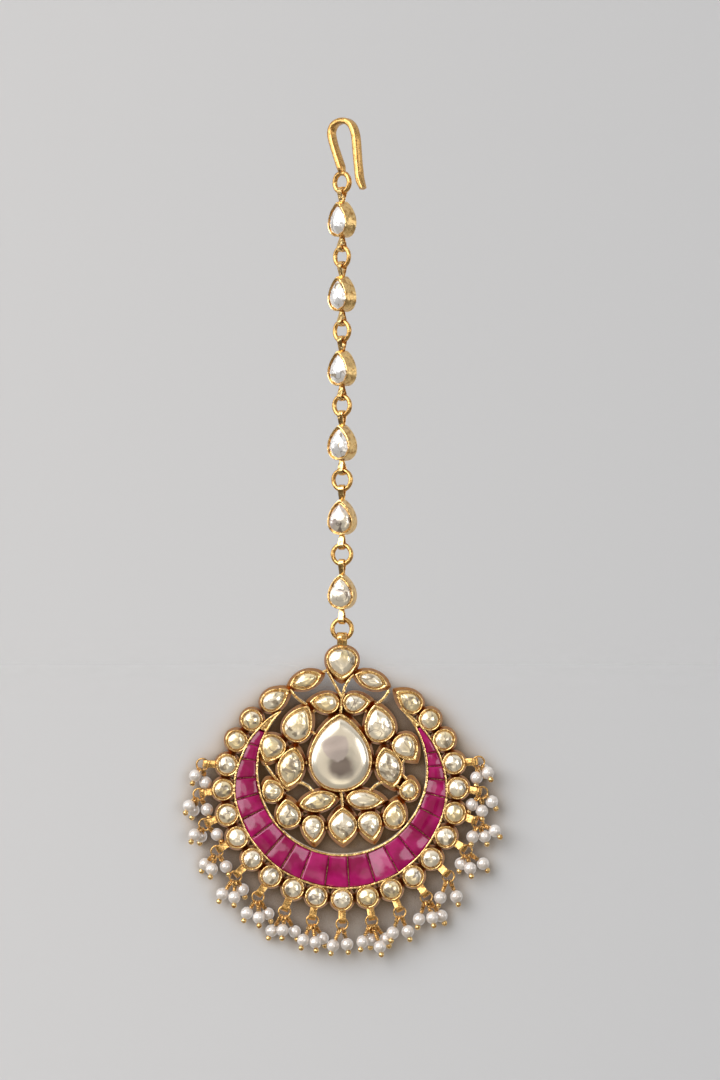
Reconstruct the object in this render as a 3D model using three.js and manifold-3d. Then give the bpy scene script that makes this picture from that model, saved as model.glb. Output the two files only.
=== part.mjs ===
// Maang tikka: a crescent forehead jewel that hangs from a hair hook on a chain of six stone links.
// Millimetres, +Z up. The front faces -Y and the origin is under the hook's crown, where it hangs.

import * as THREE from 'three';
import { mergeVertices } from 'three/addons/utils/BufferGeometryUtils.js';
import Module from 'manifold-3d';

const wasm = await Module();
wasm.setup();

// Hair hook
const HOOK_WIDTH = 6.3; // from the bowed leg to the straight leg, wire middle to wire middle
const HOOK_DROP = 11.3; // from the underside of the crown to the middle of the eye
const HOOK_WIRE = 0.9; // flattened wire, across in the hook's own plane
const HOOK_DEPTH = 1.5; // the same wire, across through that plane
const EYE_R = 1.8; // middle of the eye's wire
const EYE_WIRE = 0.85;
const HOOK_TURN = -40;

// Chain: a link's strap holds the ring above it, and the next ring hangs in the strap below
const RING_R = 1.855; // middle of the ring's wire
const RING_WIRE = 0.85;
const LINK_TALL = 6.85;
const LINK_WIDE = 5.2;
const LINK_DEPTH = 2.85;
const LINK_LIP = 0.5; // gold rim round the stone's face
const STRAP_WIDE = 1.6;
const STRAP_WALL = 0.3;
const STRAP_FOOT = 1.1; // where the folded ends meet the setting
const STRAP_PLAY = 0.53; // round the wire that passes through
const STRAP_RISE = 1.81; // from the link's end to the middle of the wire
// Shares of the link's height at which the feet of the upper and lower straps end, inside the setting
const TIP_SINK = 0.36;
const END_SINK = 0.44;
const STRAP_SHIFT = 0.1; // the hole sits this much towards the ring's middle, which the wire curves to

// Pendant
const FIELD_R = 16; // inner edge of the ruby crescent
const PLATE_DEPTH = 2.4; // from the flat back to the lips of the cups
const PLATE_SET = 0.1; // how far the plate's middle lies behind the hinge
const CUP_WALL = 0.45;
const CUP_FLOOR = 0.5;
const SINK = 0.45; // how far a loop's or a bail's feet run into a cup
const CLEAR = 0.15; // round and under a stone in its cup
const CROWN = 0.6; // how far a stone's table stands in front of its cup's lip
const STRIP_WIDE = 0.8;
const STRIP_DEPTH = 1.4;
const BAIL_WIDE = 1.9;
const BAIL_HOLE = 1.05; // radius, clear of the ring's wire all through the swing
const BAIL_WALL = 0.3;
const BAIL_FOOT = 1.6;
const BAIL_RISE = 1.35; // from the top cup's edge to the hinge

// Rim of round stones, and the pearls that hang from the lower ones
const RIM_CUP = 4.45; // diameter
const RIM_LIP = 0.4; // gold rim round the stone's face
const RIM_LAP = 0.3; // how far a cup runs into the crescent's wall
const RIM_COUNT = 21;
const RIM_FROM = 61; // degrees anticlockwise from straight up, as seen from the front
const RIM_TO = 300;
const RIM_BARE = 2; // stones without pearls at either end
const LOOP_WIDE = 1.05;
const LOOP_HOLE = 0.85; // radius
const LOOP_WALL = 0.25;
const LOOP_FOOT = 1;
const LOOP_REACH = 1.5; // from the cup's edge to the middle of the hole
const DROP_RING_R = 1.12; // middle of the wire ring that carries the pearls
const DROP_WIRE = 0.32;
const DROP_PIN = 0.2;
const DROP_LIFT = 0.1; // how far inside its loop's middle a drop ring's wire hangs
const DROP_LEAN = 10; // degrees that a ring leans off its loop towards straight down
const PEARL = 2.4; // diameter

// How many corners the round forms have
const STONE_SIDES = 10;
const CENTRE_SIDES = 16;
const RIM_SIDES = 8;
const BEAD_SIDES = 10;

// The hook's wire from the eye over the crown to the flicked end, in shares of its width and drop
const HOOK_ROUTE = [
  { across: -0.04, down: 0.78 },
  { across: -0.24, down: 0.51 },
  { across: -0.37, down: 0.31 },
  { across: -0.41, down: 0.17 },
  { across: -0.28, down: 0.05 },
  { across: 0.04, down: 0 },
  { across: 0.35, down: 0.065 },
  { across: 0.52, down: 0.23 },
  { across: 0.59, down: 0.51 },
  { across: 0.65, down: 0.81 },
  { across: 0.71, down: 1.01 },
  { across: 0.83, down: 1.165 },
];

// Turns about the chain's own line, in degrees: the chain hangs twisted
const CHAIN = [
  { link: -46, ring: -45 },
  { link: -46, ring: -43 },
  { link: -42, ring: -37 },
  { link: -33, ring: -27 },
  { link: -20, ring: -19 },
  { link: -16, ring: -5 },
];

// Cut stones of the pendant, in shares of FIELD_R from the crescent's middle.
// turn is clockwise from straight up to the tip. tip and foot sharpen the two ends: 0 is round.
const STONES = [
  { name: 'centre', right: -0.02, up: 0.21, tall: 0.95, wide: 0.77, turn: 0, tip: 0.5, foot: 0 },
  { name: 'upper_left', right: -0.51, up: 0.56, tall: 0.48, wide: 0.36, turn: 27, tip: 0.6, foot: 0 },
  { name: 'upper_right', right: 0.44, up: 0.56, tall: 0.48, wide: 0.38, turn: -12, tip: 0.6, foot: 0 },
  { name: 'inner_left', right: -0.21, up: 0.8, tall: 0.37, wide: 0.26, turn: -87, tip: 0.6, foot: 0 },
  { name: 'inner_right', right: 0.18, up: 0.8, tall: 0.35, wide: 0.26, turn: 84, tip: 0.6, foot: 0 },
  { name: 'top', right: 0, up: 1.27, tall: 0.42, wide: 0.39, turn: 180, tip: 0.5, foot: 0 },
  { name: 'leaf_left', right: -0.43, up: 1.07, tall: 0.42, wide: 0.23, turn: 70, tip: 0.5, foot: 0.5 },
  { name: 'leaf_right', right: 0.35, up: 1.07, tall: 0.43, wide: 0.23, turn: 110, tip: 0.5, foot: 0.5 },
  { name: 'outer_left', right: -0.79, up: 0.85, tall: 0.4, wide: 0.27, turn: 55, tip: 0.6, foot: 0 },
  { name: 'outer_right', right: 0.79, up: 0.83, tall: 0.38, wide: 0.27, turn: -54, tip: 0.6, foot: 0 },
  { name: 'side_left', right: -0.84, up: 0.25, tall: 0.37, wide: 0.33, turn: 205, tip: 0.6, foot: 0 },
  { name: 'side_right', right: 0.77, up: 0.26, tall: 0.38, wide: 0.32, turn: 143, tip: 0.6, foot: 0 },
  { name: 'blade_left', right: -0.61, up: 0.03, tall: 0.52, wide: 0.33, turn: 12, tip: 0.5, foot: 0.5 },
  { name: 'blade_right', right: 0.56, up: 0.03, tall: 0.52, wide: 0.33, turn: -14, tip: 0.5, foot: 0.5 },
  { name: 'bud_left', right: -0.83, up: -0.24, tall: 0.3, wide: 0.27, turn: -25, tip: 0.3, foot: 0 },
  { name: 'bud_right', right: 0.8, up: -0.23, tall: 0.28, wide: 0.24, turn: 10, tip: 0.3, foot: 0 },
  { name: 'base_left', right: -0.28, up: -0.37, tall: 0.49, wide: 0.26, turn: 76, tip: 0.5, foot: 0.5 },
  { name: 'base_right', right: 0.28, up: -0.35, tall: 0.48, wide: 0.25, turn: 94, tip: 0.6, foot: 0.2 },
  { name: 'lower_left', right: -0.64, up: -0.51, tall: 0.37, wide: 0.31, turn: -8, tip: 0.5, foot: 0 },
  { name: 'lower_right', right: 0.63, up: -0.52, tall: 0.37, wide: 0.29, turn: 10, tip: 0.5, foot: 0 },
  { name: 'foot_left', right: -0.34, up: -0.71, tall: 0.36, wide: 0.28, turn: 176, tip: 0.6, foot: 0 },
  { name: 'foot_right', right: 0.34, up: -0.67, tall: 0.38, wide: 0.3, turn: 168, tip: 0.6, foot: 0 },
  { name: 'kite', right: 0.01, up: -0.66, tall: 0.47, wide: 0.36, turn: 0, tip: 0.9, foot: 0.9 },
];

// Gold strips that show between the cups, in shares of FIELD_R from the crescent's middle
const STRIPS = [
  { right: -0.18, up: 1.19, toRight: -0.01, toUp: 0.87 },
  { right: 0.14, up: 1.14, toRight: 0.01, toUp: 0.87 },
  { right: 0, up: 0.92, toRight: -0.02, toUp: 0.66 },
  { right: -0.62, up: 0.96, toRight: -0.42, toUp: 0.78 },
  { right: 0.56, up: 0.95, toRight: 0.4, toUp: 0.78 },
  { right: -0.94, up: 0.12, toRight: -0.63, toUp: -0.24 },
  { right: 0.8, up: 0.16, toRight: 0.78, toUp: -0.12 },
  { right: -0.72, up: -0.22, toRight: -0.33, toUp: -0.27 },
  { right: 0.7, up: -0.22, toRight: 0.33, toUp: -0.25 },
  { right: -0.02, up: -0.2, toRight: 0.01, toUp: -0.45 },
];

// Cups that a solder bridge joins at the back
const BRIDGES = [
  { from: 'centre', to: 'upper_right' },
  { from: 'centre', to: 'blade_left' },
  { from: 'centre', to: 'blade_right' },
  { from: 'top', to: 'leaf_left' },
  { from: 'top', to: 'leaf_right' },
  { from: 'kite', to: 'foot_left' },
  { from: 'kite', to: 'foot_right' },
];

// Cups that a bridge joins to the crescent, by the angle anticlockwise from straight up
const ANCHORS = [
  { from: 'outer_left', angle: 50 },
  { from: 'side_left', angle: 72 },
  { from: 'lower_left', angle: 130 },
  { from: 'kite', angle: 180.5 },
  { from: 'lower_right', angle: 231 },
  { from: 'side_right', angle: 288 },
  { from: 'outer_right', angle: 311 },
];

// The crescent's outer edge: share of FIELD_R by the angle anticlockwise from straight up
const CRESCENT = [
  { angle: 46, edge: 1.02 },
  { angle: 56, edge: 1.08 },
  { angle: 62, edge: 1.11 },
  { angle: 72, edge: 1.17 },
  { angle: 83, edge: 1.22 },
  { angle: 94, edge: 1.29 },
  { angle: 105, edge: 1.33 },
  { angle: 127, edge: 1.37 },
  { angle: 148, edge: 1.4 },
  { angle: 183, edge: 1.42 },
  { angle: 209, edge: 1.41 },
  { angle: 232, edge: 1.36 },
  { angle: 255, edge: 1.3 },
  { angle: 272, edge: 1.22 },
  { angle: 284, edge: 1.16 },
  { angle: 298, edge: 1.09 },
  { angle: 317, edge: 1.02 },
];

// Where one ruby ends and the next begins, by the same angle
const RUBY_ENDS = [
  64, 74, 83.5, 94.5, 105.5, 116, 127, 138, 148, 159, 171.5,
  183.5, 196.5, 209, 220.5, 232, 244, 255, 264.5, 272.5, 281, 299,
];
const TABLE = 0.6; // share of a stone's outline that its flat table takes up
const RUBY_CROWN = 0.25; // how far a ruby's table stands in front of the walls, and its girdle behind them

// The pearls of each drop, left to right, in shares of PEARL from the middle of its ring.
// right and down are seen from the front, and back is away from the viewer.
const DROPS = [
  [{ right: -0.6, down: 0.88, back: -0.2 }, { right: 0.16, down: 1.44, back: 0.2 }],
  [{ right: -0.8, down: 0.88, back: -0.45 }, { right: -0.48, down: 1.28, back: 0.45 },
    { right: 0.6, down: 1.2, back: 0 }],
  [{ right: -0.8, down: 0.8, back: -0.45 }, { right: -0.32, down: 0.96, back: 0.45 },
    { right: 0.96, down: 0.8, back: 0 }],
  [{ right: -0.96, down: 1.04, back: 0.4 }, { right: -0.4, down: 1.36, back: -0.4 },
    { right: 0.72, down: 1.2, back: 0 }],
  [{ right: -1.04, down: 1.36, back: 0 }, { right: -0.08, down: 1.6, back: -0.3 },
    { right: 0.56, down: 1.04, back: 0.3 }],
  [{ right: -0.88, down: 1.28, back: 0.1 }, { right: 0.08, down: 1.6, back: -0.35 },
    { right: 0.8, down: 1.36, back: 0.35 }],
  [{ right: -1.04, down: 1.52, back: 0.3 }, { right: -0.16, down: 1.44, back: -0.2 },
    { right: 0.8, down: 1.6, back: 0.4 }],
  [{ right: -0.72, down: 1.52, back: -0.25 }, { right: 0.24, down: 1.68, back: -0.4 },
    { right: 0.8, down: 1.44, back: 0.4 }],
  [{ right: -0.72, down: 1.68, back: -0.3 }, { right: 0.4, down: 1.6, back: 0 }],
  [{ right: -0.72, down: 1.6, back: -0.4 }, { right: -0.08, down: 1.52, back: 0.4 },
    { right: 0.64, down: 2, back: -0.35 }, { right: 1.12, down: 1.44, back: 0.35 }],
  [{ right: -0.56, down: 1.6, back: -0.3 }, { right: 0.64, down: 1.52, back: 0 }],
  [{ right: -0.56, down: 1.76, back: 0.1 }, { right: 0.48, down: 1.6, back: -0.35 },
    { right: 1.2, down: 1.52, back: 0.35 }],
  [{ right: -0.64, down: 1.68, back: 0 }, { right: 0.64, down: 1.6, back: 0 }],
  [{ right: -0.4, down: 1.04, back: 0.3 }, { right: 0.32, down: 1.36, back: -0.32 },
    { right: 1.36, down: 1.04, back: 0.2 }],
  [{ right: -0.4, down: 1.12, back: -0.15 }, { right: 0.56, down: 1.12, back: 0.15 },
    { right: 1.36, down: 0.64, back: -0.4 }],
  [{ right: -0.8, down: 0.96, back: 0.1 }, { right: 0, down: 1.44, back: -0.1 },
    { right: 0.8, down: 0.72, back: 0.1 }],
  [{ right: -0.16, down: 1.2, back: -0.1 }, { right: 0.4, down: 0.64, back: 0.5 },
    { right: 0.72, down: 0.8, back: -0.45 }],
];

const GOLD = new THREE.MeshStandardMaterial({ color: 0xc99a4e, roughness: 0.3, metalness: 1 });
const CLEAR_STONE = new THREE.MeshStandardMaterial({ color: 0xe9e6e2, roughness: 0.08, metalness: 0.2 });
const CHAMPAGNE = new THREE.MeshStandardMaterial({ color: 0xd9cfc3, roughness: 0.1, metalness: 0.2 });
const RUBY = new THREE.MeshStandardMaterial({ color: 0xa8185a, roughness: 0.12, metalness: 0 });
const PEARL_SHELL = new THREE.MeshStandardMaterial({ color: 0xf2ece2, roughness: 0.25, metalness: 0 });

const radians = THREE.MathUtils.degToRad;
const GRID = 1e-4;
const SLIVER = 2e-3; // thinner facets than this are merged away

// Closed mesh with shared corners, without the slivers that a pole leaves.
// Corners are set on a fine grid, so that pieces that meet share them exactly.
function weld(geometry) {
  const bare = geometry.clone();
  bare.deleteAttribute('normal');
  bare.deleteAttribute('uv');
  const places = bare.getAttribute('position').array;
  places.forEach((value, i) => (places[i] = Math.round(value / GRID) * GRID));
  const merged = mergeVertices(bare, GRID);
  const corners = merged.index.array;
  const kept = [];
  for (let i = 0; i < corners.length; i += 3) {
    const [a, b, c] = corners.slice(i, i + 3);
    if (a !== b && b !== c && c !== a) kept.push(a, b, c);
  }
  merged.setIndex(kept);
  return merged;
}

function solid(geometry) {
  const closed = weld(geometry);
  const vertProperties = new Float32Array(closed.attributes.position.array);
  const triVerts = new Uint32Array(closed.index.array);
  return new wasm.Manifold(new wasm.Mesh({ numProp: 3, vertProperties, triVerts }));
}

function geometryOf(body) {
  const { vertProperties, triVerts } = body.getMesh();
  const geometry = new THREE.BufferGeometry();
  geometry.setAttribute('position', new THREE.BufferAttribute(new Float32Array(vertProperties), 3));
  geometry.setIndex(new THREE.BufferAttribute(new Uint32Array(triVerts), 1));
  geometry.computeVertexNormals();
  return geometry;
}

const join = (bodies) => bodies.reduce((whole, body) => whole.add(body));

// Point at a distance from the middle, its angle anticlockwise from straight up
function polar(distance, angle) {
  const turned = radians(angle);
  return new THREE.Vector2(-Math.sin(turned) * distance, Math.cos(turned) * distance);
}

// Outline of a cut stone with its tip up
function outline({ tall, wide, tip, foot, sides = STONE_SIDES }) {
  const half = Array.from({ length: sides }, (_, i) => {
    const t = (2 * Math.PI * i) / sides;
    const reach = Math.sin(t) * Math.sin(t / 2) ** tip * Math.abs(Math.cos(t / 2)) ** foot;
    return new THREE.Vector2(reach, (Math.cos(t) * tall) / 2);
  });
  const widest = Math.max(...half.map((point) => point.x));
  return half.map((point) => new THREE.Vector2((point.x * wide) / 2 / widest, point.y));
}

// The same form with a wall taken off all round, twice as much at a sharp end
function inset(form, wall) {
  const sharpTip = Math.min(form.tip * 2, 1) * wall;
  const sharpFoot = Math.min(form.foot * 2, 1) * wall;
  const tall = form.tall - 2 * wall - sharpTip - sharpFoot;
  return { ...form, tall, wide: form.wide - 2 * wall, lift: (sharpFoot - sharpTip) / 2 };
}

// A stone's outline, turned and moved to its place on the pendant
function placed(form) {
  const turned = -radians(form.turn);
  const middle = new THREE.Vector2();
  return outline(form).map((point) => {
    const lifted = point.setY(point.y + (form.lift ?? 0));
    return lifted.rotateAround(middle, turned).add(new THREE.Vector2(form.right, form.up));
  });
}

// Flat piece with an outline seen from the front, between a front and a back depth
function plate(points, front, back) {
  const shape = new THREE.Shape(points);
  const geometry = new THREE.ExtrudeGeometry(shape, { depth: back - front, bevelEnabled: false });
  return geometry.rotateX(Math.PI / 2).translate(0, back, 0);
}

// Facets between rows of corners: each row is a share of the outline and a depth, front row first
function facets(points, rows) {
  const profile = rows.map(({ share, depth }) => new THREE.Vector2(share, depth));
  const geometry = new THREE.LatheGeometry(profile, points.length);
  const corners = geometry.getAttribute('position');
  for (let i = 0; i <= points.length; i++) {
    const { x, y } = points[i % points.length];
    profile.forEach((row, j) => corners.setXYZ(i * profile.length + j, x * row.x, row.y, y * row.x));
  }
  return geometry;
}

// Strap folded round a pin that runs along X: round end at the middle, foot reaching down
function strap({ hole, wall, wide, reach, foot, sides = 8 }) {
  const shape = new THREE.Shape();
  shape.absarc(0, 0, hole + wall, radians(-115), radians(115), false);
  shape.lineTo(-reach, foot / 2);
  shape.lineTo(-reach, -foot / 2);
  const pin = new THREE.Path();
  pin.absarc(0, 0, hole, 0, 2 * Math.PI, true);
  shape.holes.push(pin);
  const options = { depth: wide, bevelEnabled: false, curveSegments: sides / 2 };
  return new THREE.ExtrudeGeometry(shape, options).translate(0, 0, -wide / 2).rotateY(-Math.PI / 2);
}

// Ring of wire that lies in the plane seen from the front
function wireRing(radius, wire, sides, steps) {
  return new THREE.TorusGeometry(radius, wire / 2, sides, steps).rotateX(Math.PI / 2);
}

// Straight pin between two points
function pin(from, to, wire) {
  const along = new THREE.Vector3().subVectors(to, from);
  const geometry = new THREE.CylinderGeometry(wire / 2, wire / 2, along.length(), 3);
  const upright = new THREE.Vector3(0, 1, 0);
  const turn = new THREE.Quaternion().setFromUnitVectors(upright, along.clone().normalize());
  return geometry.applyQuaternion(turn).translate(...from.clone().add(to).multiplyScalar(0.5));
}

function hookGeometry() {
  const eye = wireRing(EYE_R, EYE_WIRE, 5, 10).translate(0, 0, -HOOK_DROP);
  const start = new THREE.Vector3(0, 0, EYE_R - HOOK_DROP);
  const rest = HOOK_ROUTE.map(({ across, down }) =>
    new THREE.Vector3(across * HOOK_WIDTH, 0, HOOK_WIRE / 2 - down * HOOK_DROP));
  const extrudePath = new THREE.CatmullRomCurve3([start, ...rest]);
  const section = new THREE.Shape();
  section.absellipse(0, 0, HOOK_DEPTH / 2, HOOK_WIRE / 2, 0, 2 * Math.PI, false);
  const wire = new THREE.ExtrudeGeometry(section, { extrudePath, steps: 20, curveSegments: 3 });
  return geometryOf(join([solid(eye), solid(wire)]));
}

function linkGeometry() {
  const form = { tall: LINK_TALL, wide: LINK_WIDE, tip: 0.6, foot: 0 };
  const face = 1 - (2 * LINK_LIP) / LINK_WIDE;
  const front = -LINK_DEPTH / 2;
  const setting = facets(outline(form), [
    { share: 0, depth: front - CROWN },
    { share: face * TABLE, depth: front - CROWN },
    { share: face, depth: front },
    { share: 1, depth: front },
    { share: 1, depth: -front },
    { share: 0, depth: -front },
  ]);
  const hole = RING_WIRE / 2 + STRAP_PLAY;
  const middle = LINK_TALL / 2 + STRAP_RISE + STRAP_SHIFT;
  const size = { hole, wall: STRAP_WALL, wide: STRAP_WIDE, foot: STRAP_FOOT, sides: 6 };
  const upper = strap({ ...size, reach: middle - LINK_TALL * TIP_SINK }).translate(0, 0, middle);
  const lower = strap({ ...size, reach: middle - LINK_TALL * END_SINK }).translate(0, 0, middle);
  return geometryOf(join([solid(setting), solid(upper), solid(lower.rotateY(Math.PI))]));
}

// The pendant's stones at their real sizes
const stones = STONES.map((row) => ({
  ...row,
  right: row.right * FIELD_R,
  up: row.up * FIELD_R,
  tall: row.tall * FIELD_R,
  wide: row.wide * FIELD_R,
  sides: row.name === 'centre' ? CENTRE_SIDES : STONE_SIDES,
}));

const lip = -PLATE_DEPTH / 2;
const back = PLATE_DEPTH / 2;
const floor = back - CUP_FLOOR;

function crescentEdge(angle) {
  const next = Math.max(1, CRESCENT.findIndex((row) => row.angle >= angle));
  const [a, b] = [CRESCENT[next - 1], CRESCENT[next]];
  const share = (angle - a.angle) / (b.angle - a.angle);
  return FIELD_R * THREE.MathUtils.lerp(a.edge, b.edge, share);
}

// Outline of a stretch of the crescent, its edges drawn in by a wall
function crescentBand(angles, wall) {
  const outer = angles.map((angle) => polar(crescentEdge(angle) - wall, angle));
  const inner = angles.map((angle) => polar(FIELD_R + wall, angle));
  return [...outer, ...inner.reverse()];
}

const tipAngles = [CRESCENT[0].angle, ...RUBY_ENDS, CRESCENT[CRESCENT.length - 1].angle];

// Rim stones stand at even steps along the crescent's outer edge
function rimPlaces() {
  const steps = 480;
  const walk = [0];
  const angleAt = (i) => RIM_FROM + ((RIM_TO - RIM_FROM) * i) / steps;
  const middle = (angle) => polar(crescentEdge(angle) + RIM_CUP / 2 - RIM_LAP, angle);
  for (let i = 1; i <= steps; i++) {
    walk.push(walk[i - 1] + middle(angleAt(i)).distanceTo(middle(angleAt(i - 1))));
  }
  return Array.from({ length: RIM_COUNT }, (_, k) => {
    const wanted = (walk[steps] * k) / (RIM_COUNT - 1);
    const angle = angleAt(walk.findIndex((length) => length >= wanted - 1e-6));
    return { angle, at: middle(angle) };
  });
}

const rim = rimPlaces();
const carriers = rim.slice(RIM_BARE, RIM_COUNT - RIM_BARE);
const loopOut = RIM_CUP / 2 + LOOP_REACH;

// A corner of each rim cup points at the crescent, so that it runs into its wall
function rimSetting({ angle, at }) {
  const face = 1 - (2 * RIM_LIP) / RIM_CUP;
  const step = 360 / RIM_SIDES;
  const circle = Array.from({ length: RIM_SIDES }, (_, i) => polar(RIM_CUP / 2, angle - step * i));
  return facets(circle, [
    { share: 0, depth: lip - CROWN },
    { share: face * TABLE, depth: lip - CROWN },
    { share: face, depth: lip },
    { share: 1, depth: lip },
    { share: 1, depth: back },
    { share: 0, depth: back },
  ]).translate(at.x, 0, at.y);
}

function rimLoop({ angle, at }) {
  const hole = at.clone().add(polar(loopOut, angle));
  const size = { hole: LOOP_HOLE, wall: LOOP_WALL, wide: LOOP_WIDE, foot: LOOP_FOOT, sides: 6 };
  const loop = strap({ ...size, reach: LOOP_REACH + SINK }).rotateY(-radians(angle));
  return loop.translate(hole.x, 0, hole.y);
}

// Straight strip of gold at the back, between two points seen from the front
function strip(from, to) {
  const middle = new THREE.Vector2();
  const side = to.clone().sub(from).setLength(STRIP_WIDE / 2).rotateAround(middle, Math.PI / 2);
  const corners = [[from, 1], [to, 1], [to, -1], [from, -1]].map(([end, way]) =>
    end.clone().addScaledVector(side, way));
  return plate(corners, back - STRIP_DEPTH, back);
}

function strips() {
  const spot = (right, up) => new THREE.Vector2(right, up).multiplyScalar(FIELD_R);
  const middle = (name) => {
    const stone = stones.find((row) => row.name === name);
    return new THREE.Vector2(stone.right, stone.up);
  };
  return [
    ...STRIPS.map(({ right, up, toRight, toUp }) => strip(spot(right, up), spot(toRight, toUp))),
    ...BRIDGES.map(({ from, to }) => strip(middle(from), middle(to))),
    ...ANCHORS.map(({ from, angle }) => strip(middle(from), polar(FIELD_R + CUP_WALL / 2, angle))),
  ];
}

const top = stones.find((stone) => stone.name === 'top');
const hinge = top.up + top.tall / 2 + BAIL_RISE;

function pendantBail() {
  const size = { hole: BAIL_HOLE, wall: BAIL_WALL, wide: BAIL_WIDE, foot: BAIL_FOOT };
  return strap({ ...size, reach: BAIL_RISE + SINK }).translate(top.right, -PLATE_SET, hinge);
}

function frameGeometry() {
  const raised = [
    plate(crescentBand(tipAngles, 0), lip, back),
    ...stones.map((stone) => plate(placed(stone), lip, back)),
    ...strips(),
    ...rim.map(rimSetting),
    ...carriers.map(rimLoop),
    pendantBail(),
  ];
  const pockets = [
    plate(crescentBand(RUBY_ENDS, CUP_WALL), lip - 1, floor),
    ...stones.map((stone) => plate(placed(inset(stone, CUP_WALL)), lip - 1, floor)),
  ];
  const whole = join(raised.map(solid));
  const metal = pockets.map(solid).reduce((rest, pocket) => rest.subtract(pocket), whole);
  return geometryOf(metal.simplify(SLIVER));
}

function stoneGeometry(stone) {
  const seat = inset(stone, CUP_WALL + CLEAR);
  const geometry = facets(outline(seat), [
    { share: 0, depth: lip - CROWN },
    { share: TABLE, depth: lip - CROWN },
    { share: 1, depth: lip },
    { share: 0, depth: floor - CLEAR },
  ]);
  const turned = geometry.translate(0, 0, seat.lift).rotateY(radians(stone.turn));
  return weld(turned.translate(stone.right, 0, stone.up));
}

// Rubies set edge to edge, each with its own table
function rubyGeometry() {
  const wall = CUP_WALL + CLEAR;
  const foot = floor - CLEAR;
  const margin = THREE.MathUtils.radToDeg(CLEAR / FIELD_R);
  const ends = [...RUBY_ENDS];
  ends[0] += margin;
  ends[ends.length - 1] -= margin;
  const cuts = ends.slice(1).map((end, i) => {
    const corners = crescentBand([ends[i], end], wall).reverse();
    const middle = corners.reduce((sum, corner) => sum.add(corner), new THREE.Vector2()).divideScalar(4);
    return facets(corners.map((corner) => corner.clone().sub(middle)), [
      { share: 0, depth: lip - RUBY_CROWN },
      { share: TABLE, depth: lip - RUBY_CROWN },
      { share: 1, depth: lip + RUBY_CROWN },
      { share: 1, depth: foot },
      { share: 0, depth: foot },
    ]).translate(middle.x, 0, middle.y);
  });
  return geometryOf(join(cuts.map(solid)));
}

// A wire ring in the rim's loop, with its pearls fanned out below on straight pins
function dropGeometry(pearls) {
  const ring = wireRing(DROP_RING_R, DROP_WIRE, 5, 8);
  const beads = pearls.flatMap(({ right, down, back: behind }) => {
    const at = new THREE.Vector3(right, behind, -down).multiplyScalar(PEARL);
    const hang = at.clone().setY(0).setLength(DROP_RING_R);
    return [
      new THREE.SphereGeometry(PEARL / 2, BEAD_SIDES, 4).translate(...at),
      pin(hang, at, DROP_PIN),
    ];
  });
  return geometryOf(join([ring, ...beads].map(solid)));
}

function mesh(name, geometry, material) {
  const piece = new THREE.Mesh(geometry, material);
  piece.name = name;
  return piece;
}

const tikka = new THREE.Group();

const hook = mesh('hair_hook', hookGeometry(), GOLD);
hook.rotation.z = radians(HOOK_TURN);
tikka.add(hook);

const link = linkGeometry();
const ring = weld(wireRing(RING_R, RING_WIRE, 5, 11));
const linkReach = LINK_TALL / 2 + STRAP_RISE;
let wireAt = -HOOK_DROP - EYE_R;
CHAIN.forEach((turns, i) => {
  const setLink = mesh(`chain_link_${i + 1}`, link, GOLD);
  setLink.position.z = wireAt - linkReach;
  setLink.rotation.z = radians(turns.link);
  const jumpRing = mesh(`jump_ring_${i + 1}`, ring, GOLD);
  jumpRing.position.z = setLink.position.z - linkReach - RING_R;
  jumpRing.rotation.z = radians(turns.ring);
  wireAt = jumpRing.position.z - RING_R;
  tikka.add(setLink, jumpRing);
});

const pendant = new THREE.Group();
pendant.position.set(0, PLATE_SET, wireAt - hinge);
pendant.add(mesh('pendant_frame', frameGeometry(), GOLD));
pendant.add(mesh('ruby_band', rubyGeometry(), RUBY));
stones.forEach((stone) => {
  const clear = stone.name === 'top' ? CHAMPAGNE : CLEAR_STONE;
  pendant.add(mesh(`stone_${stone.name}`, stoneGeometry(stone), clear));
});
DROPS.forEach((pearls, i) => {
  const { angle, at } = carriers[i];
  const lean = THREE.MathUtils.clamp(180 - angle, -DROP_LEAN, DROP_LEAN);
  const middle = at.clone().add(polar(loopOut, angle)).add(polar(DROP_RING_R - DROP_LIFT, angle + lean));
  const drop = mesh(`pearl_drop_${i + 1}`, dropGeometry(pearls), PEARL_SHELL);
  drop.position.set(middle.x, 0, middle.y);
  pendant.add(drop);
});
tikka.add(pendant);

export default tikka;
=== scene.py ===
"""Maang tikka: the finished look of a crescent forehead jewel on a chain of stone links."""

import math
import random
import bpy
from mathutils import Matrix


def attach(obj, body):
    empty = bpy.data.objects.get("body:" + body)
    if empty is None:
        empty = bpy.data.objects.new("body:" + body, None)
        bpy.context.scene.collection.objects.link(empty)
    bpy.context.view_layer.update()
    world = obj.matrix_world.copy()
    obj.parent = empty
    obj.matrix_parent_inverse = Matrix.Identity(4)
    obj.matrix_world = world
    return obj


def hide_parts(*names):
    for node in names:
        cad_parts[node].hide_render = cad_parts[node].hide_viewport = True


bl_info = {
    "name": "Maang tikka",
    "version": (1, 0, 0),
    "blender": (4, 5, 0),
    "location": "View3D > Sidebar > Tikka",
    "description": "A crescent forehead jewel with a ruby band and a pearl fringe, on a chain of stone links",
    "category": "Add Mesh",
}

from collections import namedtuple

import bmesh
import bpy
from bpy.props import FloatProperty, FloatVectorProperty, PointerProperty
from bpy.types import Operator, Panel, PropertyGroup
from mathutils import Matrix, Vector, noise

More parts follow.
